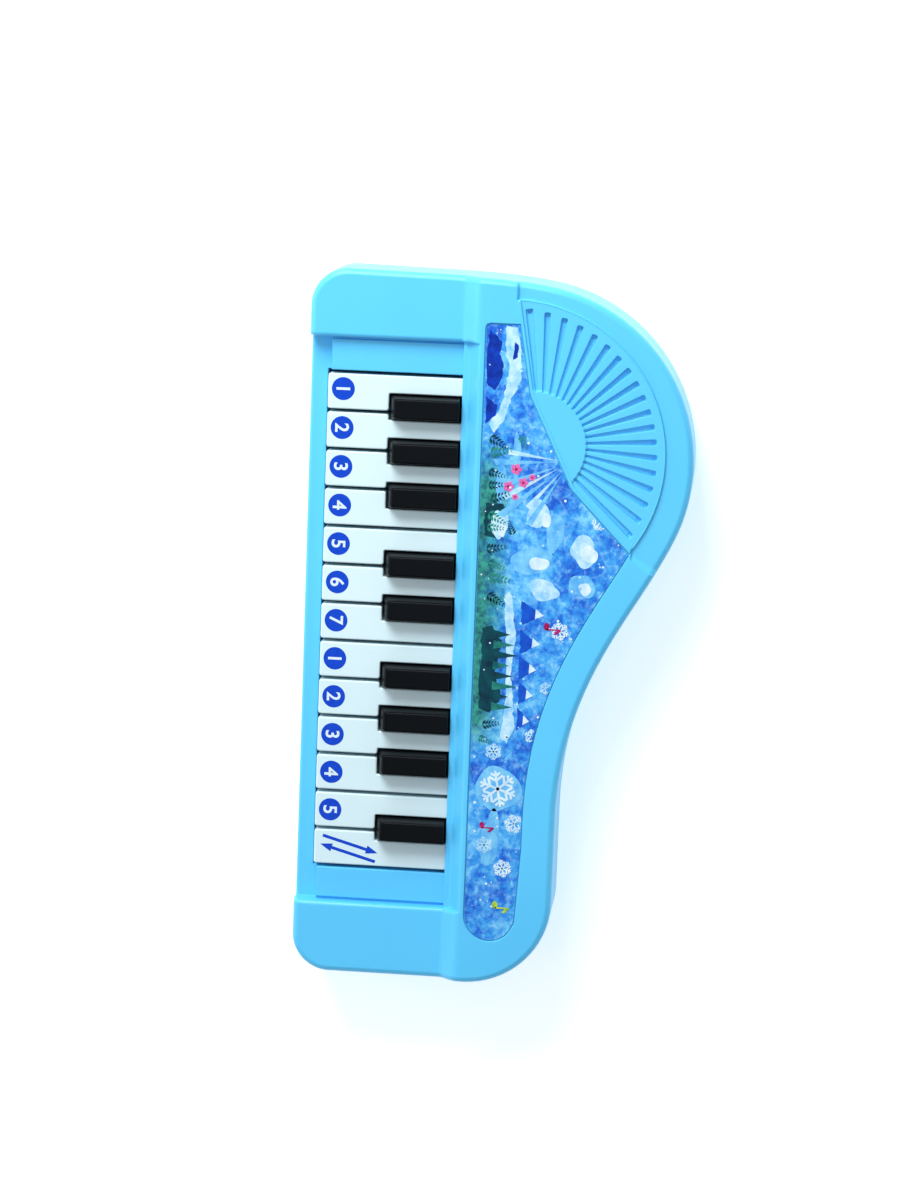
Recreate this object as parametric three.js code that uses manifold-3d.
// A toy electronic keyboard shaped like a small grand piano seen from above: thirteen white and nine
// black keys, a printed label on the rear deck and a fan of grille slots over the speaker.
// X runs along the keys to the player's right, Y from the player to the rear, Z up from the table.
// Every size is in millimetres. Sizes are worked in the keyboard's own frame, with X = 0 at the left
// edge of the lowest key and Y = 0 at the keys' front edge; the last group moves the whole toy so that
// the origin is under the middle of the case.
import * as THREE from "three";
import { mergeVertices } from "three/addons/utils/BufferGeometryUtils.js";
import { ConvexGeometry } from "three/addons/geometries/ConvexGeometry.js";
import Module from "manifold-3d";

const wasm = await Module();
wasm.setup();

// ---------------------------------------------------------------- driving dimensions
const CLEARANCE = 0.3; // between pieces that touch or seat on each other
const BEYOND = 300; // how far a cutter runs past what it cuts

// keys
const WHITE_KEY_COUNT = 13;
const KEY_PITCH = 13.3;
const KEY_GAP = 1.2;
const WHITE_KEY_LENGTH = 45.7; // from the front edge to the fallboard
const WHITE_KEY_TOP = 26;
const WHITE_KEY_DEPTH = 8; // top face to skirt edge
const WHITE_KEY_TRAVEL = 3; // at the front edge
const KEY_WALL = 1.2;
const KEY_EDGE = 0.5;
const KEY_ROOF = 1.5; // thickness of a white key's top
const KEY_TAIL = 1.7; // key runs this far under the fallboard
const PLUNGER_WIDTH = 2.4;
const PLUNGER_LENGTH = 3;
const BLACK_KEY_LENGTH = 24;
const BLACK_KEY_BASE = 8.2;
const BLACK_KEY_CROWN = 6.8; // width of the top face
const BLACK_KEY_RISE = 5.5; // above the white keys
const BLACK_KEY_NOSE = 2.3; // slope of the front face
const BLACK_KEY_TRAVEL = 2.5;
const BLACK_KEY_ROOM = 0.5; // between a black key and the notch it stands in
const BLACK_KEYS_AFTER = [0, 1, 2, 4, 5, 7, 8, 9, 11]; // index of the white key to its left
const SPREAD_OF_THREE = 1.95; // outer black keys of a group of three stand off their gap by this
const SPREAD_OF_TWO = 1.05;

// case
const FOOT_HEIGHT = 2;
const SEAM_HEIGHT = 16; // parting line of the two halves
const CHEEK_HEIGHT = 29.5;
const DECK_HEIGHT = 34;
const FRONT_RAIL_HEIGHT = 22.5;
const CASE_WALL = 2;
const DECK_WALL = 2.8;
const TOP_EDGE_RADIUS = 2.4;
const BOTTOM_EDGE_RADIUS = 2.5;
const FRONT_RAIL_WIDTH = 6.4;
const FRONT_GAP = 0.5; // key front to rail
const FILLER_WIDTH = 10.6; // blind block beside the keys
const FILLER_GROOVE = 1;
const FILLER_SETBACK = 1; // filler's front edge behind the keys' front edge
const CHEEK_WIDTH = 23.4; // left, at its widest
const RIGHT_CHEEK_WIDTH = 25.2;
const FRONT_CORNER_RADIUS = 13;
const LIP_HEIGHT = 28.3; // strip of the deck just behind the keys
const LIP_WIDTH = 2.4;
const LIP_WALL = 1.8;
const FALLBOARD_RUN = 4; // slope from the lip up to the deck
const REAR_RIGHT_LEAD = 4.5; // straight rear edge on the right, before the battery bay's rear end
const REAR_RIGHT_RADIUS = 30;
const WAIST_RUN = 58; // right side to where the waist leaves the straight rear edge
const WAIST_EASE = 50; // how slowly the waist leaves that edge
const WAIST_JOIN_EASE = 30; // and how slowly it meets the bulge
const WAIST_JOIN_DEG = 66;
const BULGE_RADIUS = 60.3;
const BULGE_INSET = 2.4; // bulge's side inside the case's left side
const BULGE_LEAD = 22.9; // centre of the bulge, before the battery bay's rear end
const FLANK_JOIN_DEG = 170;
const FLANK_EASE = 11;
const FLANK_RUN = 24; // the left flank starts to lean this far before the bulge's centre
const FLANK_LEAN = 0.7;
const COLLAR_WALL = 1.6; // wall round the key opening, inside the case

// speaker and its grille
const RIM_DROP = 1.5; // outer rim below the deck
const FAN_DROP = 0.7; // slotted plate below the deck
const FAN_RADIUS = 52.2;
const HUB_RADIUS = 18.4;
const SLOT_COUNT = 19;
const SLOT_PITCH_DEG = 7.81;
const SLOT_FIRST_DEG = 187.2;
const SLOT_END_MARGIN = 2.7; // slot's outer end inside the fan's edge
const SLOT_OUTER_WIDTH = 2.1;
const SLOT_INNER_WIDTH = 0.9;
const SLOT_DEPTH = 1.3;
const SLOT_HUB_LAP = 2.2; // slot's inner end inside the hub's edge
const SOUND_HOLE_RADIUS = 0.6; // through the outer end of each slot
const FAN_ARC_DEG = [53.5, 178.5];
const SPEAKER_RADIUS = 28.5;
const SPEAKER_DEPTH = 18;
const SPEAKER_MAGNET_RADIUS = 15;
const SPEAKER_MAGNET_DEPTH = 7.5;
const SPEAKER_FLANGE = 1;
const SPEAKER_RING_DEPTH = 4.4; // ring under the deck that locates the speaker
const SPEAKER_RING_WALL = 1.6;

// label
const LABEL_BORDER = 11; // inside the rear outline
const LABEL_RECESS = 0.8;
const LABEL_THICKNESS = 0.2;
const LABEL_SETBACK = 1.2; // deck's front edge to the label
const LABEL_LEFT_INSET = 16.1; // case's left side to the label
const LABEL_CORNER = 1.5;
const LABEL_FAN_GAP = 1;
const LABEL_END_RADIUS = 8.9;
const LABEL_RIGHT_INSET = 15.6; // label's right end to the case's right side

// electronics
const BOARD_THICKNESS = 1.6;
const BOARD_HEIGHT = 9.5; // underside above the table
const BOARD_WIDTH = 24.5;
const BOARD_TAIL = 0.8; // board runs this far behind the white keys' visible length
const BOARD_END = 2; // board's end inside the key row's end
const STRIP_THICKNESS = 1;
const DOME_HEIGHT = 3.6;
const DOME_RADIUS = 2.5;
const DOME_SIDES = 6;
const WHITE_DOME_SETBACK = 6; // from the board's front edge
const BLACK_DOME_SETBACK = 16;
const DOME_ROOM = 0.25; // plunger above its dome when the key is fully down

// key rails
const HINGE_RUN = 5.3; // fallboard end of the white keys to the hinge line
const WHITE_TAB_HEIGHT = 21.4;
const BLACK_TAB_HEIGHT = 24.4;
const TAB_THICKNESS = 2;
const RAIL_DEPTH = 5.1;
const RAIL_THICKNESS = 2.8;

// battery bay and door
const CELL_RADIUS = 7.25;
const CELL_LENGTH = 50.5;
const BAY_BESIDE_SPEAKER = 0.9; // bay's left end to the speaker's edge
const BAY_BEHIND_RAIL = 0.7;
const BAY_WALL = 2.2;
const BAY_ROOF = 1.5;
const CELL_ROOM = 0.5; // bay's spare width and height
const CONTACT_THICKNESS = 0.5;
const CONTACT_ROOM = 5.5; // bay length beyond the cells
const DOOR_THICKNESS = 1.6;
const DOOR_LEDGE = 1.4;
const DOOR_LUG_WIDTH = 10;
const DOOR_LUG_THICKNESS = 2.6;
const DOOR_TAB_WIDTH = 8;

// fasteners
const SCREW_HEAD_RADIUS = 2.6;
const SCREW_RADIUS = 1.25;
const SCREW_HEAD_HEIGHT = 1.6;
const DOOR_SCREW_HEAD_HEIGHT = 1.2;
const CASE_SCREW_LENGTH = 15;
const CASE_SCREW_SEAT = 10; // case screw heads rest at this height inside their posts
const RAIL_SCREW_LENGTH = 11.4;
const BOARD_SCREW_LENGTH = 7;
const DOOR_SCREW_LENGTH = 8;
const BOSS_WALL = 1.6;
const SCREW_EDGE = 9.5; // case screws from the case's sides
const FOOT_RADIUS = 5;
const FOOT_FROM_FRONT = 24.4;
const WIRE_RADIUS = 0.7;

// ---------------------------------------------------------------- derived places
const keyRowWidth = WHITE_KEY_COUNT * KEY_PITCH - KEY_GAP;
const wellLeft = -KEY_GAP - FILLER_WIDTH - FILLER_GROOVE;
const wellRight = keyRowWidth + KEY_GAP + FILLER_WIDTH + FILLER_GROOVE;
const caseLeft = wellLeft - CHEEK_WIDTH;
const caseRight = wellRight + RIGHT_CHEEK_WIDTH;
const caseFront = -FRONT_RAIL_WIDTH;
const fallboard = WHITE_KEY_LENGTH + FRONT_GAP;
const deckFront = fallboard + LIP_WIDTH + FALLBOARD_RUN;
const blackTop = WHITE_KEY_TOP + BLACK_KEY_RISE;
const blackFront = WHITE_KEY_LENGTH - BLACK_KEY_LENGTH;
const hingeLine = WHITE_KEY_LENGTH + HINGE_RUN;
const bayFront = hingeLine + RAIL_DEPTH + BAY_BEHIND_RAIL + BAY_WALL;
const bayRear = bayFront + 4 * CELL_RADIUS + CELL_ROOM;
const bayMiddle = (bayFront + bayRear) / 2;
const bulge = new THREE.Vector2(caseLeft + BULGE_INSET + BULGE_RADIUS, bayRear - BULGE_LEAD);
const rearRight = bayRear - REAR_RIGHT_LEAD;
const boardRear = WHITE_KEY_LENGTH + BOARD_TAIL;
const boardFront = boardRear - BOARD_WIDTH;
const whiteDomeRow = boardFront + WHITE_DOME_SETBACK;
const blackDomeRow = boardFront + BLACK_DOME_SETBACK;
const seamTop = SEAM_HEIGHT + CLEARANCE;
const deckUnder = DECK_HEIGHT - DECK_WALL;
const cheekUnder = CHEEK_HEIGHT - CASE_WALL;
const floorTop = FOOT_HEIGHT + CASE_WALL;
const boardTop = BOARD_HEIGHT + BOARD_THICKNESS;
const domeTop = boardTop + CLEARANCE + STRIP_THICKNESS + DOME_HEIGHT;
const speaker = new THREE.Vector2(bulge.x - 10.9, bulge.y + 20.4);
const bayLeft = speaker.x + SPEAKER_RADIUS + BAY_BESIDE_SPEAKER;
const bayRight = bayLeft + CELL_LENGTH + CONTACT_ROOM;
const doorTop = FOOT_HEIGHT + DOOR_THICKNESS;
const lugTop = FOOT_HEIGHT + DOOR_LUG_THICKNESS;
const bayOpening = doorTop + CLEARANCE;
const bayCeiling = bayOpening + 2 * CELL_RADIUS + CELL_ROOM;
const bossHole = SCREW_RADIUS + CLEARANCE;
const seatedHead = SCREW_HEAD_HEIGHT + CLEARANCE;
const slotCentre = new THREE.Vector2(bulge.x - 6.3, bulge.y + 8.4);
const fanCentre = new THREE.Vector2(bulge.x - 2.5, bulge.y - 1.7);
const rimStart = bulge.y - 1.4; // straight step at the left end of the rim

// ---------------------------------------------------------------- shape helpers
const point = (x, y) => new THREE.Vector2(x, y);

function solid(geometry) {
  const bare = geometry.clone();
  bare.deleteAttribute("normal");
  bare.deleteAttribute("uv");
  const merged = mergeVertices(bare, 1e-4);
  return new wasm.Manifold(
    new wasm.Mesh({
      numProp: 3,
      vertProperties: new Float32Array(merged.attributes.position.array),
      triVerts: new Uint32Array(merged.index.array),
    }),
  );
}

function geometryOf(body) {
  const mesh = body.getMesh();
  const geometry = new THREE.BufferGeometry();
  geometry.setAttribute("position", new THREE.BufferAttribute(mesh.vertProperties, 3));
  geometry.setIndex(new THREE.BufferAttribute(mesh.triVerts, 1));
  geometry.computeVertexNormals();
  return geometry;
}

function box(x0, x1, y0, y1, z0, z1) {
  const geometry = new THREE.BoxGeometry(x1 - x0, y1 - y0, z1 - z0);
  geometry.translate((x0 + x1) / 2, (y0 + y1) / 2, (z0 + z1) / 2);
  return solid(geometry);
}

function post(x, y, z0, z1, radius, sides = 12) {
  const geometry = new THREE.CylinderGeometry(radius, radius, z1 - z0, sides);
  geometry.rotateX(Math.PI / 2);
  geometry.translate(x, y, (z0 + z1) / 2);
  return solid(geometry);
}

function prism(points, z0, z1) {
  const geometry = new THREE.ExtrudeGeometry(new THREE.Shape(points), {
    depth: z1 - z0,
    bevelEnabled: false,
  });
  geometry.translate(0, 0, z0);
  return solid(geometry);
}

// A prism whose top and bottom edges are rounded inwards by a radius.
function roundedPrism(points, z0, z1, radius, segments) {
  const geometry = new THREE.ExtrudeGeometry(new THREE.Shape(points), {
    depth: z1 - z0 - 2 * radius,
    bevelThickness: radius,
    bevelSize: radius,
    bevelOffset: -radius,
    bevelSegments: segments,
  });
  geometry.translate(0, 0, z0 + radius);
  return solid(geometry);
}

// A profile drawn in Y and Z, carried along X.
function alongX(profile, x0, x1) {
  const geometry = new THREE.ExtrudeGeometry(new THREE.Shape(profile), {
    depth: x1 - x0,
    bevelEnabled: false,
  });
  const axes = [new THREE.Vector3(0, 1, 0), new THREE.Vector3(0, 0, 1), new THREE.Vector3(1, 0, 0)];
  geometry.applyMatrix4(new THREE.Matrix4().makeBasis(...axes));
  geometry.translate(x0, 0, 0);
  return solid(geometry);
}

// Moves each side of a closed outline (drawn anticlockwise) inwards by a distance.
function inset(points, distance) {
  return points.map((here, i) => {
    const before = points[(i + points.length - 1) % points.length];
    const after = points[(i + 1) % points.length];
    const a = here.clone().sub(before).normalize();
    const b = after.clone().sub(here).normalize();
    const normalA = point(-a.y, a.x);
    const normalB = point(-b.y, b.x);
    const scale = distance / (1 + normalA.dot(normalB));
    return here.clone().addScaledVector(normalA.add(normalB), scale);
  });
}

function tube(route, radius, sides, steps) {
  const circle = new THREE.Shape();
  circle.absarc(0, 0, radius, 0, 2 * Math.PI);
  const curve = new THREE.CatmullRomCurve3(route.map((p) => new THREE.Vector3(...p)));
  return solid(
    new THREE.ExtrudeGeometry(circle, {
      steps,
      curveSegments: sides / 2,
      extrudePath: curve,
      bevelEnabled: false,
    }),
  );
}

// ---------------------------------------------------------------- outlines
// The case's outline, anticlockwise from the front left corner.
function caseOutline() {
  const r = FRONT_CORNER_RADIUS;
  const R = REAR_RIGHT_RADIUS;
  const path = new THREE.Path();
  path.moveTo(caseLeft + r, caseFront);
  path.lineTo(caseRight - r, caseFront);
  path.absarc(caseRight - r, caseFront + r, r, -Math.PI / 2, 0, false);
  path.lineTo(caseRight, rearRight - R);
  path.absarc(caseRight - R, rearRight - R, R, 0, Math.PI / 2, false);
  // the waist: a slow double curve from the straight rear edge to the bulge
  const waistStart = caseRight - WAIST_RUN;
  path.lineTo(waistStart, rearRight);
  const joinAngle = THREE.MathUtils.degToRad(WAIST_JOIN_DEG);
  const join = onCircle(bulge, BULGE_RADIUS, joinAngle);
  const ease = point(Math.sin(joinAngle), -Math.cos(joinAngle)).multiplyScalar(WAIST_JOIN_EASE);
  path.bezierCurveTo(
    waistStart - WAIST_EASE,
    rearRight,
    join.x + ease.x,
    join.y + ease.y,
    join.x,
    join.y,
  );
  const flankAngle = THREE.MathUtils.degToRad(FLANK_JOIN_DEG);
  path.absarc(bulge.x, bulge.y, BULGE_RADIUS, joinAngle, flankAngle, false);
  // the left flank leans in slightly towards the rear
  const flank = onCircle(bulge, BULGE_RADIUS, flankAngle);
  const flankStart = point(caseLeft + FLANK_LEAN, bulge.y - FLANK_RUN);
  path.bezierCurveTo(
    flank.x - FLANK_EASE * Math.tan(Math.PI - flankAngle),
    flank.y - FLANK_EASE,
    flankStart.x + 0.2,
    flankStart.y + FLANK_EASE,
    flankStart.x,
    flankStart.y,
  );
  path.lineTo(caseLeft, caseFront + r);
  path.absarc(caseLeft + r, caseFront + r, r, Math.PI, 1.5 * Math.PI, false);
  return withoutRepeats(path.curves.flatMap((curve) => curve.getPoints(divisions(curve))));
}

// A straight side needs one division, a long curve more than a short one.
function divisions(curve) {
  return curve.isLineCurve ? 1 : Math.round(1.3 * Math.sqrt(curve.getLength()));
}

function onCircle(centre, radius, angle) {
  return point(centre.x + radius * Math.cos(angle), centre.y + radius * Math.sin(angle));
}

function arcPoints(centre, radius, fromDeg, toDeg, count) {
  return Array.from({ length: count + 1 }, (_, i) =>
    onCircle(centre, radius, THREE.MathUtils.degToRad(fromDeg + ((toDeg - fromDeg) * i) / count)),
  );
}

function withoutRepeats(points) {
  return points.filter((p, i) => p.distanceTo(points[(i + 1) % points.length]) > 1e-3);
}

// The slotted plate: the fan's arc, the steep step on its right, and the label's edge below.
function fanOutline() {
  const hubStep = point(slotCentre.x + 14.4, slotCentre.y + 11.9);
  const hubLeft = point(slotCentre.x - 16.7, slotCentre.y - 3.1);
  return [...arcPoints(fanCentre, FAN_RADIUS, ...FAN_ARC_DEG, 20), hubLeft, hubStep];
}

// Everything outside the fan's arc between the two steps that bound the rim.
function rimOutline() {
  const arc = arcPoints(fanCentre, FAN_RADIUS, ...FAN_ARC_DEG, 20);
  const stepFoot = point(arc[0].x + 3.4, arc[0].y + 0.2);
  const stepHead = point(stepFoot.x + 14.7, stepFoot.y + 24.3);
  return [
    stepFoot,
    stepHead,
    point(bulge.x - 2 * BULGE_RADIUS, stepHead.y),
    point(bulge.x - 2 * BULGE_RADIUS, rimStart),
    point(arc[arc.length - 1].x, rimStart),
    ...arc.reverse(),
  ];
}

// The label fills the deck inside the rear outline, round to the fan.
function labelBody(clearance, z0, z1) {
  const left = caseLeft + LABEL_LEFT_INSET;
  const front = deckFront + LABEL_SETBACK;
  const right = point(caseRight - LABEL_RIGHT_INSET - LABEL_END_RADIUS, front + LABEL_END_RADIUS);
  const shoulder = right.x - 36; // past here the border follows the rear outline
  const field = [
    point(left, front + LABEL_CORNER),
    point(left + LABEL_CORNER, front),
    ...arcPoints(right, LABEL_END_RADIUS, -90, 84, 10),
    point(shoulder, right.y + LABEL_END_RADIUS + 2),
    point(shoulder, right.y + BEYOND),
    point(left, right.y + BEYOND),
  ];
  const fan = inset(fanOutline(), -LABEL_FAN_GAP - clearance);
  const behindFan = box(fanCentre.x - BEYOND, fanCentre.x + 30, hubRear, BEYOND, z0 - 1, z1 + 1);
  return prism(inset(field, clearance), z0, z1)
    .intersect(prism(inset(outline, LABEL_BORDER + clearance), z0, z1))
    .subtract(prism(fan, z0 - 1, z1 + 1))
    .subtract(behindFan);
}

const outline = caseOutline();
const hubRear = fanCentre.y + 41.3;
const inner = inset(outline, CASE_WALL);
const extent = new THREE.Box2().setFromPoints(outline);

// ---------------------------------------------------------------- key places
function blackKeyShift(after) {
  const group = after % 7; // the octave starts on the first white key
  if (group <= 2) return (group - 1) * SPREAD_OF_THREE;
  return group === 4 ? -SPREAD_OF_TWO : SPREAD_OF_TWO;
}

const blackKeys = BLACK_KEYS_AFTER.map((after) => ({
  after,
  x: (after + 1) * KEY_PITCH - KEY_GAP / 2 + blackKeyShift(after),
}));

const whiteKeys = Array.from({ length: WHITE_KEY_COUNT }, (_, index) => {
  const left = index * KEY_PITCH;
  const right = left + KEY_PITCH - KEY_GAP;
  const half = BLACK_KEY_BASE / 2 + BLACK_KEY_ROOM;
  const blackLeft = blackKeys.find((key) => key.after === index - 1);
  const blackRight = blackKeys.find((key) => key.after === index);
  const stemLeft = blackLeft ? blackLeft.x + half : left;
  const stemRight = blackRight ? blackRight.x - half : right;
  return { left, right, stemLeft, stemRight, x: (stemLeft + stemRight) / 2 };
});

// ---------------------------------------------------------------- screw places
const caseScrews = [
  point(caseLeft + SCREW_EDGE, caseFront + SCREW_EDGE),
  point(caseRight - SCREW_EDGE, caseFront + SCREW_EDGE),
  onCircle(bulge, BULGE_RADIUS - 6, THREE.MathUtils.degToRad(143)),
  onCircle(bulge, BULGE_RADIUS - 10, THREE.MathUtils.degToRad(56)),
  point(caseRight - 70, rearRight - SCREW_EDGE),
  point(caseRight - SCREW_EDGE, rearRight - 28),
];
const railScrews = [0.02, 0.34, 0.66, 0.98].map((share) => point(keyRowWidth * share, hingeLine + 2.8));
const boardScrews = [0.03, 0.97].map((share) => point(keyRowWidth * share, boardRear - 2.4));
const doorScrew = point(bayLeft - 5.4, bayMiddle);

// ---------------------------------------------------------------- top case
function topCase() {
  const west = caseLeft - 5;
  const east = caseRight + 5;
  const cheeks = roundedPrism(outline, 0, CHEEK_HEIGHT, TOP_EDGE_RADIUS, 3);
  const wedge = [
    point(fallboard, -1),
    point(fallboard, CHEEK_HEIGHT),
    point(fallboard + 2.4, CHEEK_HEIGHT + 0.7),
    point(fallboard + 4.4, CHEEK_HEIGHT + 2.3),
    point(deckFront, DECK_HEIGHT),
    point(deckFront, BEYOND),
    point(BEYOND, BEYOND),
    point(BEYOND, -1),
  ];
  const deck = roundedPrism(outline, 0, DECK_HEIGHT, TOP_EDGE_RADIUS, 3);
  let body = cheeks.add(deck.intersect(alongX(wedge, west, east)));

  // the well that holds the keys, its lower front rail, and the lip behind the keys
  body = body
    .subtract(box(wellLeft, wellRight, caseFront - 5, fallboard, WHITE_KEY_TOP, BEYOND))
    .subtract(box(wellLeft, wellRight, caseFront - 5, FILLER_SETBACK, FRONT_RAIL_HEIGHT, BEYOND));
  const lip = [
    point(fallboard - 1, LIP_HEIGHT),
    point(fallboard + LIP_WIDTH, LIP_HEIGHT),
    point(deckFront, DECK_HEIGHT),
    point(deckFront, BEYOND),
    point(fallboard - 1, BEYOND),
  ];
  body = body.subtract(alongX(lip, wellLeft, wellRight));
  const grooveFloor = WHITE_KEY_TOP - 1;
  for (const x of [wellLeft, wellRight - FILLER_GROOVE])
    body = body.subtract(box(x, x + FILLER_GROOVE, FILLER_SETBACK, fallboard, grooveFloor, BEYOND));

  // the hollow inside
  const hollow = (x0, x1, y0, y1, top) => prism(inner, -1, top).intersect(box(x0, x1, y0, y1, -1, top));
  const lipUnder = LIP_HEIGHT - LIP_WALL;
  const fillerUnder = WHITE_KEY_TOP - CASE_WALL;
  const leftCheek = wellLeft - CASE_WALL;
  const rightCheek = wellRight + CASE_WALL;
  body = body
    .subtract(prism(inner, -1, FRONT_RAIL_HEIGHT - CASE_WALL))
    .subtract(hollow(west, leftCheek, caseFront, fallboard + CASE_WALL, cheekUnder))
    .subtract(hollow(rightCheek, east, caseFront, fallboard + CASE_WALL, cheekUnder))
    .subtract(hollow(leftCheek, rightCheek, FILLER_SETBACK + CASE_WALL, fallboard, fillerUnder))
    .subtract(hollow(west, east, fallboard - 1, BEYOND, lipUnder))
    .subtract(hollow(west, east, deckFront, BEYOND, deckUnder));

  // a collar round the key opening, then the opening itself
  const openLeft = -KEY_GAP;
  const openRight = keyRowWidth + KEY_GAP;
  const collar = box(
    openLeft - COLLAR_WALL,
    openRight + COLLAR_WALL,
    -FRONT_GAP - COLLAR_WALL,
    fallboard,
    0,
    fillerUnder,
  );
  const belowRail = box(west, east, caseFront, BEYOND, 0, FRONT_RAIL_HEIGHT - 1);
  body = body
    .add(collar.intersect(belowRail))
    .subtract(box(openLeft, openRight, -FRONT_GAP, fallboard, -5, BEYOND))
    .subtract(box(openLeft, openRight, fallboard - 1, fallboard + 1, -5, lipUnder));

  // the rim and the slotted plate of the speaker grille
  const fanTop = DECK_HEIGHT - FAN_DROP;
  body = body
    .subtract(prism(rimOutline(), DECK_HEIGHT - RIM_DROP, BEYOND))
    .subtract(prism(fanOutline(), fanTop, BEYOND))
    .subtract(labelBody(0, DECK_HEIGHT - LABEL_RECESS, BEYOND));
  for (let i = 0; i < SLOT_COUNT; i++) {
    const slot = slotLine(THREE.MathUtils.degToRad(SLOT_FIRST_DEG - i * SLOT_PITCH_DEG));
    const hole = slot.far.clone().addScaledVector(slot.along, -1.5 * SOUND_HOLE_RADIUS);
    body = body
      .subtract(slotCutter(slot, fanTop - SLOT_DEPTH))
      .subtract(post(hole.x, hole.y, deckUnder - 1, BEYOND, SOUND_HOLE_RADIUS, 8));
  }

  // a ring that locates the speaker, and the bosses for the screws
  const ringBore = SPEAKER_RADIUS + CLEARANCE;
  const ringFoot = deckUnder - SPEAKER_RING_DEPTH;
  const ring = post(speaker.x, speaker.y, ringFoot, deckUnder + 0.5, ringBore + SPEAKER_RING_WALL, 32);
  body = body.add(ring.subtract(post(speaker.x, speaker.y, 0, deckUnder, ringBore, 32)));
  for (const screw of caseScrews) {
    const under = screw.y < fallboard ? cheekUnder : deckUnder;
    body = body
      .add(post(screw.x, screw.y, 0, under + 0.5, bossHole + BOSS_WALL))
      .subtract(post(screw.x, screw.y, -1, under - 1.5, bossHole));
  }
  const bossFoot = BLACK_TAB_HEIGHT + TAB_THICKNESS / 2 + 0.5 + CLEARANCE;
  for (const screw of railScrews)
    body = body
      .add(post(screw.x, screw.y, bossFoot, deckUnder + 0.5, bossHole + BOSS_WALL))
      .subtract(post(screw.x, screw.y, bossFoot - 1, deckUnder - 0.4, bossHole));
  return body.subtract(box(west, east, caseFront - 5, BEYOND, -5, seamTop));
}

// A slot's centre line, from the hub to near the fan's edge.
function slotLine(angle) {
  const along = point(Math.cos(angle), Math.sin(angle));
  const fromFan = slotCentre.clone().sub(fanCentre);
  const reach = FAN_RADIUS - SLOT_END_MARGIN;
  const b = fromFan.dot(along);
  const length = -b + Math.sqrt(b * b - fromFan.lengthSq() + reach * reach);
  const from = (distance) => slotCentre.clone().addScaledVector(along, distance);
  return { along, near: from(HUB_RADIUS - SLOT_HUB_LAP), far: from(length) };
}

function slotCutter({ along, near, far }, z0) {
  const across = point(-along.y, along.x);
  const side = (end, width) => end.clone().addScaledVector(across, width / 2);
  const corners = [
    side(near, -SLOT_INNER_WIDTH),
    side(far, -SLOT_OUTER_WIDTH),
    side(far, SLOT_OUTER_WIDTH),
    side(near, SLOT_INNER_WIDTH),
  ];
  return prism(corners, z0, BEYOND);
}

// ---------------------------------------------------------------- bottom case
const feet = [
  point(caseLeft + 13, caseFront + FOOT_FROM_FRONT),
  point(caseRight - 14, caseFront + FOOT_FROM_FRONT),
  point(keyRowWidth / 2, caseFront + FOOT_FROM_FRONT),
  onCircle(bulge, BULGE_RADIUS - 10, THREE.MathUtils.degToRad(124)),
  point(caseRight - 30, rearRight - 14),
];
const doorEdge = {
  left: bayLeft - DOOR_LEDGE,
  right: bayRight + DOOR_LEDGE,
  front: bayFront - DOOR_LEDGE,
  rear: bayRear + DOOR_LEDGE,
};
const doorTabs = [bayFront + 7, bayRear - 7];
const lugHalf = DOOR_LUG_WIDTH / 2;
const contactSlots = [bayFront + CELL_RADIUS, bayRear - CELL_RADIUS];

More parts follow.
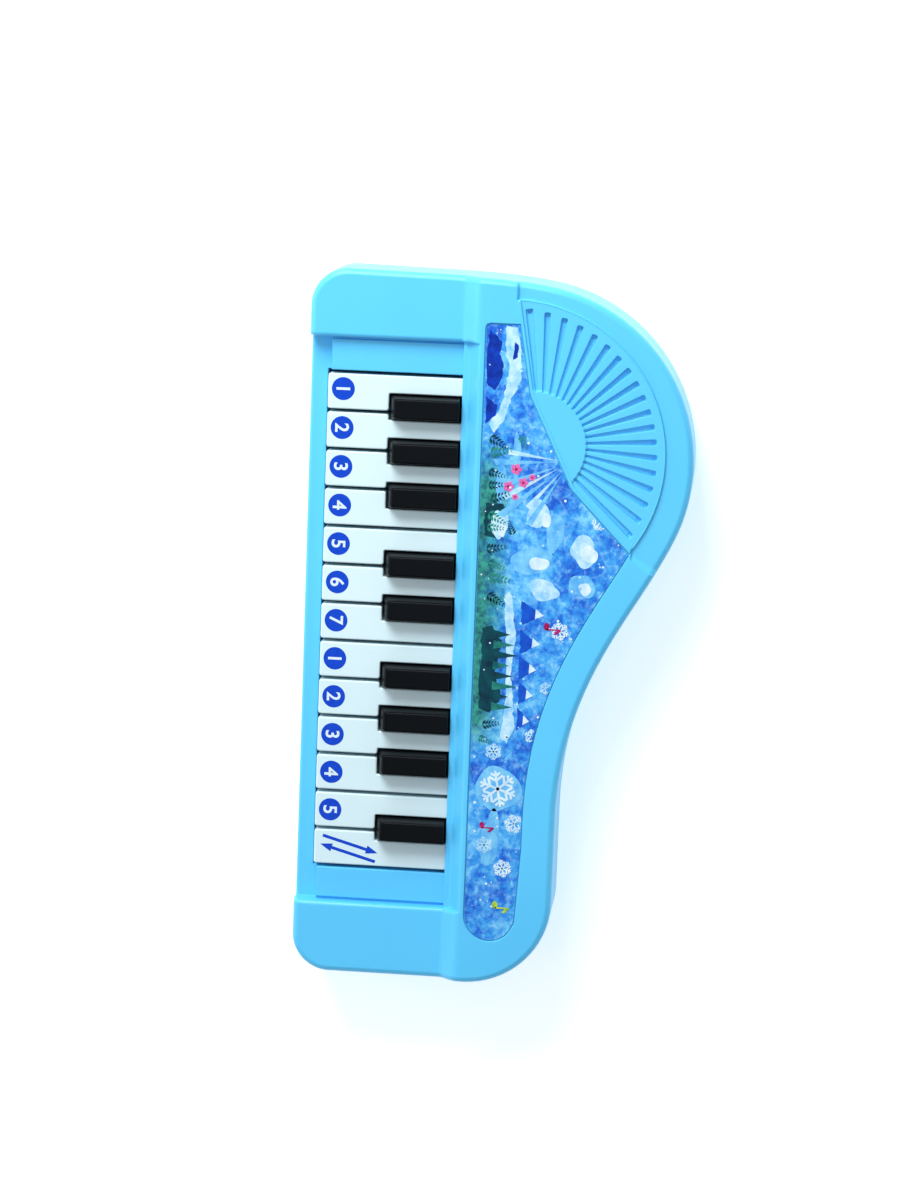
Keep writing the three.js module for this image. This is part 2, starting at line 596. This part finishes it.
function bottomCase() {
  let body = roundedPrism(outline, FOOT_HEIGHT, SEAM_HEIGHT + 20, BOTTOM_EDGE_RADIUS, 3)
    .subtract(box(caseLeft - 5, caseRight + 5, caseFront - 5, BEYOND, SEAM_HEIGHT, BEYOND))
    .subtract(prism(inner, floorTop, BEYOND));
  for (const foot of feet)
    body = body.add(post(foot.x, foot.y, 0, floorTop - 0.5, FOOT_RADIUS, 20));
  for (const screw of caseScrews) {
    body = body
      .add(post(screw.x, screw.y, floorTop - 0.5, SEAM_HEIGHT, SCREW_HEAD_RADIUS + CLEARANCE + BOSS_WALL))
      .subtract(post(screw.x, screw.y, 0, CASE_SCREW_SEAT, SCREW_HEAD_RADIUS + CLEARANCE))
      .subtract(post(screw.x, screw.y, 0, SEAM_HEIGHT + 1, bossHole));
  }
  for (const screw of boardScrews) {
    body = body
      .add(post(screw.x, screw.y, floorTop - 0.5, BOARD_HEIGHT - CLEARANCE, bossHole + BOSS_WALL))
      .subtract(post(screw.x, screw.y, floorTop + 0.5, BOARD_HEIGHT, bossHole));
  }

  // the battery bay stands up from the floor; the door closes it from below
  const roof = bayCeiling + BAY_ROOF;
  const bayBlock = box(
    bayLeft - BAY_WALL,
    bayRight + BAY_WALL,
    bayFront - BAY_WALL,
    bayRear + BAY_WALL,
    FOOT_HEIGHT,
    roof,
  );
  const lugBlock = box(
    doorScrew.x - lugHalf - 1.5,
    bayLeft,
    bayMiddle - lugHalf - 1.5,
    bayMiddle + lugHalf + 1.5,
    FOOT_HEIGHT,
    lugTop + CLEARANCE + 1.2,
  );
  const lugRoom = box(
    doorScrew.x - lugHalf,
    bayLeft - 0.4,
    bayMiddle - lugHalf,
    bayMiddle + lugHalf,
    0,
    lugTop + CLEARANCE,
  );
  body = body
    .add(bayBlock)
    .add(lugBlock)
    .add(post(doorScrew.x, doorScrew.y, floorTop, DOOR_SCREW_LENGTH + 4, bossHole + BOSS_WALL))
    .subtract(box(bayLeft, bayRight, bayFront, bayRear, 0, bayCeiling))
    .subtract(box(doorEdge.left, doorEdge.right, doorEdge.front, doorEdge.rear, 0, bayOpening))
    .subtract(lugRoom)
    .subtract(post(doorScrew.x, doorScrew.y, 0, DOOR_SCREW_LENGTH + 3, bossHole));
  const half = DOOR_TAB_WIDTH / 2 + 0.4;
  for (const y of doorTabs)
    body = body.subtract(
      box(bayRight + 0.2, doorEdge.right + 2.6, y - half, y + half, FOOT_HEIGHT + 0.6, FOOT_HEIGHT + 3.2),
    );
  for (const y of contactSlots)
    body = body.subtract(box(bayLeft + 0.1, bayLeft + 1.3, y - 2.4, y + 2.4, bayCeiling - 1, roof + 1));
  return body;
}

// ---------------------------------------------------------------- battery door and cells
function batteryDoor() {
  const front = doorEdge.front + CLEARANCE;
  const rear = doorEdge.rear - CLEARANCE;
  const hingeEdge = doorEdge.right - 0.6;
  let body = box(doorEdge.left + CLEARANCE, hingeEdge, front, rear, FOOT_HEIGHT, doorTop);
  body = body.add(
    box(
      doorScrew.x - lugHalf + CLEARANCE,
      bayLeft - 0.4 - CLEARANCE,
      bayMiddle - lugHalf + CLEARANCE,
      bayMiddle + lugHalf - CLEARANCE,
      FOOT_HEIGHT,
      lugTop,
    ),
  );
  for (const y of doorTabs)
    body = body.add(
      box(
        hingeEdge - 1,
        doorEdge.right + 1.8,
        y - DOOR_TAB_WIDTH / 2,
        y + DOOR_TAB_WIDTH / 2,
        FOOT_HEIGHT + 0.9,
        doorTop,
      ),
    );
  return body
    .subtract(post(doorScrew.x, doorScrew.y, 0, FOOT_HEIGHT + 1.6, SCREW_HEAD_RADIUS + CLEARANCE))
    .subtract(post(doorScrew.x, doorScrew.y, 0, DOOR_SCREW_LENGTH, bossHole));
}

function cell(y, flipped) {
  const nub = 2.6;
  const profile = [
    point(0, 0),
    point(CELL_RADIUS, 0),
    point(CELL_RADIUS, CELL_LENGTH - 1.4),
    point(nub, CELL_LENGTH - 1.4),
    point(nub, CELL_LENGTH),
    point(0, CELL_LENGTH),
  ];
  const geometry = new THREE.LatheGeometry(profile, 20);
  geometry.rotateZ(flipped ? Math.PI / 2 : -Math.PI / 2);
  const left = bayLeft + CONTACT_ROOM * (flipped ? 0.3 : 0.7);
  geometry.translate(flipped ? left + CELL_LENGTH : left, y, bayOpening + 0.2 + CELL_RADIUS);
  return solid(geometry);
}

// A flat contact with a solder tab that stands up through the bay's roof.
function tabContact(y) {
  const x = bayLeft + 0.4;
  const face = x + CONTACT_THICKNESS;
  const top = bayCeiling + BAY_ROOF + 2.2;
  return box(x, face, y - 5, y + 5, bayOpening + 2.5, bayCeiling - 0.5).add(
    box(x, face, y - 2, y + 2, bayCeiling - 1, top),
  );
}

function linkContact() {
  const x = bayRight - 0.9;
  const face = x + CONTACT_THICKNESS;
  return box(x, face, bayFront + 1.5, bayRear - 1.5, bayOpening + 2.5, bayCeiling - 1.5);
}

// A short tapered coil between a flat contact and the flat end of a cell.
function batterySpring(y, from, to) {
  const turns = 3;
  const route = [];
  for (let i = 0; i <= turns * 10; i++) {
    const t = i / (turns * 10);
    const angle = 2 * Math.PI * turns * t;
    const radius = 4.2 - 1.6 * t;
    const z = bayOpening + 0.2 + CELL_RADIUS + radius * Math.sin(angle);
    route.push([from + (to - from) * t, y + radius * Math.cos(angle), z]);
  }
  return tube(route, 0.3, 6, turns * 9);
}

// ---------------------------------------------------------------- keys
const whiteHinge = { y: hingeLine, z: WHITE_TAB_HEIGHT };
const blackHinge = { y: hingeLine, z: BLACK_TAB_HEIGHT };
const whiteFall = WHITE_KEY_TRAVEL / hingeLine;
const blackFall = BLACK_KEY_TRAVEL / (hingeLine - blackFront);
const tabEnd = hingeLine - CLEARANCE;

function whiteKey(key) {
  const notch = blackFront - BLACK_KEY_ROOM - 0.1;
  const rear = WHITE_KEY_LENGTH + KEY_TAIL;
  const plan = [point(key.left, 0), point(key.right, 0)];
  if (key.stemRight < key.right) plan.push(point(key.right, notch), point(key.stemRight, notch));
  plan.push(point(key.stemRight, rear), point(key.stemLeft, rear));
  if (key.stemLeft > key.left) plan.push(point(key.stemLeft, notch), point(key.left, notch));
  const skirt = WHITE_KEY_TOP - WHITE_KEY_DEPTH;
  const plunger = domeTop + whiteFall * (hingeLine - whiteDomeRow) + DOME_ROOM;
  return roundedPrism(plan, skirt - 5, WHITE_KEY_TOP, KEY_EDGE, 2)
    .subtract(box(key.left - 1, key.right + 1, -1, rear + 1, 0, skirt))
    .subtract(prism(inset(plan, KEY_WALL), skirt - 1, WHITE_KEY_TOP - KEY_ROOF))
    .add(plungerOf(key, whiteDomeRow, plunger, WHITE_KEY_TOP - 1))
    .add(hingeTab(key.x, Math.min(6, key.stemRight - key.stemLeft), rear - 1, whiteHinge.z));
}

// The post under a key that presses its dome.
function plungerOf(key, row, z0, z1) {
  const half = PLUNGER_WIDTH / 2;
  return box(key.x - half, key.x + half, row - PLUNGER_LENGTH / 2, row + PLUNGER_LENGTH / 2, z0, z1);
}

function hingeTab(x, width, from, height) {
  const half = TAB_THICKNESS / 2;
  return box(x - width / 2, x + width / 2, from, tabEnd, height - half, height + half);
}

function blackKey(key) {
  const rear = WHITE_KEY_LENGTH - 0.1;
  const base = BLACK_KEY_BASE / 2;
  const crown = BLACK_KEY_CROWN / 2;
  const bottom = WHITE_KEY_TOP - 6;
  const level = (half, front, back, z) => [
    new THREE.Vector3(key.x - half, front, z),
    new THREE.Vector3(key.x + half, front, z),
    new THREE.Vector3(key.x - half, back, z),
    new THREE.Vector3(key.x + half, back, z),
  ];
  const nose = blackFront + BLACK_KEY_NOSE;
  const hull = new ConvexGeometry([
    ...level(base, blackFront, rear, bottom),
    ...level(base, blackFront, rear, WHITE_KEY_TOP),
    ...level(crown, nose, rear, blackTop - KEY_EDGE),
    ...level(crown - KEY_EDGE, nose + KEY_EDGE, rear - KEY_EDGE, blackTop),
  ]);
  const plunger = domeTop + blackFall * (hingeLine - blackDomeRow) + DOME_ROOM;
  const hollow = crown - KEY_WALL;
  return solid(hull)
    .subtract(box(key.x - hollow, key.x + hollow, nose + 1, rear - 1.4, 0, blackTop - 2))
    .add(plungerOf(key, blackDomeRow, plunger, blackTop - 1))
    .add(hingeTab(key.x, 5, rear - 1, blackHinge.z));
}

function keyRail(height) {
  const bottom = height - TAB_THICKNESS / 2 - 0.4;
  const top = bottom + RAIL_THICKNESS - CLEARANCE;
  let body = box(0, keyRowWidth, hingeLine, hingeLine + RAIL_DEPTH, bottom, top);
  for (const screw of railScrews)
    body = body.subtract(post(screw.x, screw.y, 0, BEYOND, bossHole));
  return body;
}

// ---------------------------------------------------------------- electronics
function circuitBoard() {
  let body = box(BOARD_END, keyRowWidth - BOARD_END, boardFront, boardRear, BOARD_HEIGHT, boardTop);
  for (const screw of boardScrews)
    body = body.subtract(post(screw.x, screw.y, 0, BEYOND, bossHole));
  return body;
}

function contactStrip() {
  const z = boardTop + CLEARANCE;
  const margin = DOME_RADIUS + 1;
  const end = BOARD_END + 1;
  const front = whiteDomeRow - margin;
  const rear = blackDomeRow + margin;
  let body = box(end, keyRowWidth - end, front, rear, z, z + STRIP_THICKNESS);
  const height = DOME_HEIGHT + STRIP_THICKNESS / 2;
  const dome = (x, y) => {
    const geometry = new THREE.CylinderGeometry(DOME_RADIUS * 0.7, DOME_RADIUS, height, DOME_SIDES);
    geometry.rotateX(Math.PI / 2);
    geometry.translate(x, y, domeTop - height / 2);
    return solid(geometry);
  };
  for (const key of whiteKeys) body = body.add(dome(key.x, whiteDomeRow));
  for (const key of blackKeys) body = body.add(dome(key.x, blackDomeRow));
  return body;
}

function lathe(profile, x, y, z, sides) {
  const geometry = new THREE.LatheGeometry(profile, sides);
  geometry.rotateX(Math.PI / 2);
  geometry.translate(x, y, z);
  return solid(geometry);
}

const speakerFront = deckUnder - CLEARANCE;
const basketBack = speakerFront - SPEAKER_DEPTH + SPEAKER_MAGNET_DEPTH;

// Pressed steel basket: a flat flange, a cone and a flat back, open at the front.
function speakerBasket() {
  const back = basketBack;
  const wall = 0.8;
  return lathe(
    [
      point(0, back),
      point(SPEAKER_MAGNET_RADIUS + 1, back),
      point(SPEAKER_RADIUS - 3, speakerFront - SPEAKER_FLANGE),
      point(SPEAKER_RADIUS, speakerFront - SPEAKER_FLANGE),
      point(SPEAKER_RADIUS, speakerFront),
      point(SPEAKER_RADIUS - 3, speakerFront),
      point(SPEAKER_MAGNET_RADIUS, back + wall),
      point(0, back + wall),
    ],
    speaker.x,
    speaker.y,
    0,
    28,
  );
}

// Paper cone with its dust cap and rolled edge, nested in the basket.
function speakerCone() {
  const edge = SPEAKER_RADIUS - 5.4;
  const deep = basketBack + 2;
  const front = speakerFront - 0.5;
  return lathe(
    [
      point(0, deep),
      point(7, deep),
      point(edge - 3, front - 1.6),
      point(edge, front - 1.2),
      point(edge, front - 0.6),
      point(edge - 1.6, front),
      point(edge - 3.2, front - 0.8),
      point(8, deep + 1.2),
      point(5, deep + 3),
      point(0, deep + 3.8),
    ],
    speaker.x,
    speaker.y,
    0,
    24,
  );
}

function speakerMagnet() {
  const top = basketBack - CLEARANCE;
  const bottom = top - SPEAKER_MAGNET_DEPTH + CLEARANCE;
  return lathe(
    [
      point(0, bottom),
      point(SPEAKER_MAGNET_RADIUS - 0.8, bottom),
      point(SPEAKER_MAGNET_RADIUS, bottom + 0.8),
      point(SPEAKER_MAGNET_RADIUS, top),
      point(0, top),
    ],
    speaker.x,
    speaker.y,
    0,
    24,
  );
}

function soundChip() {
  const top = BOARD_HEIGHT - CLEARANCE;
  return lathe(
    [point(0, top - 1.7), point(3, top - 1.5), point(4.8, top - 0.8), point(5.5, top), point(0, top)],
    keyRowWidth * 0.36,
    boardFront + 14,
    0,
    16,
  );
}

function capacitor() {
  const radius = 2.2;
  const geometry = new THREE.CylinderGeometry(radius, radius, 8, 14);
  geometry.rotateZ(Math.PI / 2);
  geometry.translate(keyRowWidth * 0.6, boardFront + 11, BOARD_HEIGHT - CLEARANCE - radius);
  return solid(geometry);
}

function speakerWire(side) {
  const start = [BOARD_END + 10 + side * 3.5, boardRear + CLEARANCE, BOARD_HEIGHT + 0.9];
  const end = onCircle(speaker, SPEAKER_MAGNET_RADIUS + 3.6, THREE.MathUtils.degToRad(222 + side * 14));
  return tube(
    [
      start,
      [start[0], start[1] + 3, start[2] + 0.3],
      [start[0] - 2, start[1] + 9, start[2] + 1.5],
      [(start[0] + end.x) / 2 - 1, (start[1] + end.y) / 2 + 2, start[2] + 5],
      [end.x - 0.5, end.y - 2, basketBack - 0.5],
      [end.x, end.y, basketBack + 1],
    ],
    WIRE_RADIUS,
    8,
    16,
  );
}

function batteryWire(y, side) {
  const start = [bayLeft - 8 + side * 3.5, boardRear + CLEARANCE, BOARD_HEIGHT + 0.9];
  const end = [bayLeft + 0.1 - WIRE_RADIUS, y, bayCeiling + BAY_ROOF + 1.3];
  const out = bayLeft - BAY_WALL - 2;
  return tube(
    [
      start,
      [start[0], start[1] + 3, start[2] + 0.3],
      [out - 3 + side * 2, start[1] + 9, start[2] + 1.5],
      [out - 1, y - 6, end[2] - 4],
      [out, y - 1, end[2]],
      [out + 1.6, y, end[2] + 0.4],
      end,
    ],
    WIRE_RADIUS,
    8,
    18,
  );
}

// ---------------------------------------------------------------- screws
// A pan head and a pointed shank, with the head at the bottom unless it is turned over.
function screw(place, headFace, length, headHeight, turned) {
  const profile = [
    point(0, 0),
    point(SCREW_HEAD_RADIUS - 0.5, 0),
    point(SCREW_HEAD_RADIUS, 0.6),
    point(SCREW_HEAD_RADIUS, headHeight),
    point(SCREW_RADIUS, headHeight),
    point(SCREW_RADIUS, length - 1.5),
    point(0, length),
  ];
  const geometry = new THREE.LatheGeometry(profile, 10);
  geometry.rotateX(turned ? -Math.PI / 2 : Math.PI / 2);
  geometry.translate(place.x, place.y, headFace);
  return solid(geometry);
}

// ---------------------------------------------------------------- materials
function material(color, roughness, metalness) {
  return new THREE.MeshStandardMaterial({ color, roughness, metalness });
}

const casePlastic = material(0x6fcdf8, 0.35, 0);
const whitePlastic = material(0xeef6f8, 0.3, 0);
const blackPlastic = material(0x14181c, 0.4, 0);
const labelFilm = material(0x4aa6e6, 0.3, 0);
const rubber = material(0xd9d9d4, 0.8, 0);
const boardLaminate = material(0xb98d3e, 0.5, 0);
const epoxy = material(0x101012, 0.4, 0);
const steel = material(0xb9bcc0, 0.35, 1);
const ferrite = material(0x2c2c30, 0.7, 0);
const paper = material(0x26262a, 0.9, 0);
const cellSleeve = material(0x3a3f46, 0.35, 0);
const redSleeve = material(0xc03028, 0.5, 0);
const blackSleeve = material(0x1c1c1e, 0.5, 0);

// ---------------------------------------------------------------- the toy
const toy = new THREE.Group();
toy.position.set(-(extent.min.x + extent.max.x) / 2, -(extent.min.y + extent.max.y) / 2, 0);

function place(name, body, finish) {
  const mesh = new THREE.Mesh(geometryOf(body), finish);
  mesh.name = name;
  toy.add(mesh);
}

place("top_case", topCase(), casePlastic);
place("bottom_case", bottomCase(), casePlastic);
place("battery_door", batteryDoor(), casePlastic);
const sheetBottom = DECK_HEIGHT - LABEL_RECESS + CLEARANCE;
place("label_sheet", labelBody(0.4, sheetBottom, sheetBottom + LABEL_THICKNESS), labelFilm);

whiteKeys.forEach((key, i) => place(`white_key_${i + 1}`, whiteKey(key), whitePlastic));
blackKeys.forEach((key, i) => place(`black_key_${i + 1}`, blackKey(key), blackPlastic));
place("white_key_rail", keyRail(WHITE_TAB_HEIGHT), whitePlastic);
place("black_key_rail", keyRail(BLACK_TAB_HEIGHT), blackPlastic);

place("contact_strip", contactStrip(), rubber);
place("circuit_board", circuitBoard(), boardLaminate);
place("sound_chip", soundChip(), epoxy);
place("capacitor", capacitor(), cellSleeve);
place("speaker_basket", speakerBasket(), steel);
place("speaker_cone", speakerCone(), paper);
place("speaker_magnet", speakerMagnet(), ferrite);
place("speaker_wire_red", speakerWire(0), redSleeve);
place("speaker_wire_black", speakerWire(1), blackSleeve);

const [frontRow, rearRow] = contactSlots;
place("battery_1", cell(frontRow, false), cellSleeve);
place("battery_2", cell(rearRow, true), cellSleeve);
place("battery_contact_minus", tabContact(frontRow), steel);
place("battery_contact_plus", tabContact(rearRow), steel);
place("battery_contact_link", linkContact(), steel);
const flatEnd = CONTACT_ROOM * 0.7 - 0.6; // contact plate to the flat end of a cell
place("battery_spring_1", batterySpring(frontRow, bayLeft + 1.5, bayLeft + flatEnd), steel);
place("battery_spring_2", batterySpring(rearRow, bayRight - 1.5, bayRight - flatEnd), steel);
place("battery_wire_black", batteryWire(frontRow, 0), blackSleeve);
place("battery_wire_red", batteryWire(rearRow, 1), redSleeve);

function placeScrews(name, places, headFace, length, turned) {
  places.forEach((at, i) => {
    place(`${name}_${i + 1}`, screw(at, headFace, length, SCREW_HEAD_HEIGHT, turned), steel);
  });
}

const railUnder = WHITE_TAB_HEIGHT - TAB_THICKNESS / 2 - 0.4;
placeScrews("case_screw", caseScrews, CASE_SCREW_SEAT - seatedHead, CASE_SCREW_LENGTH, false);
placeScrews("rail_screw", railScrews, railUnder - seatedHead, RAIL_SCREW_LENGTH, false);
placeScrews("board_screw", boardScrews, boardTop + seatedHead, BOARD_SCREW_LENGTH, true);
const doorHead = FOOT_HEIGHT + 0.1;
const doorScrewBody = screw(doorScrew, doorHead, DOOR_SCREW_LENGTH, DOOR_SCREW_HEAD_HEIGHT, false);
place("battery_door_screw", doorScrewBody, steel);

export default toy;
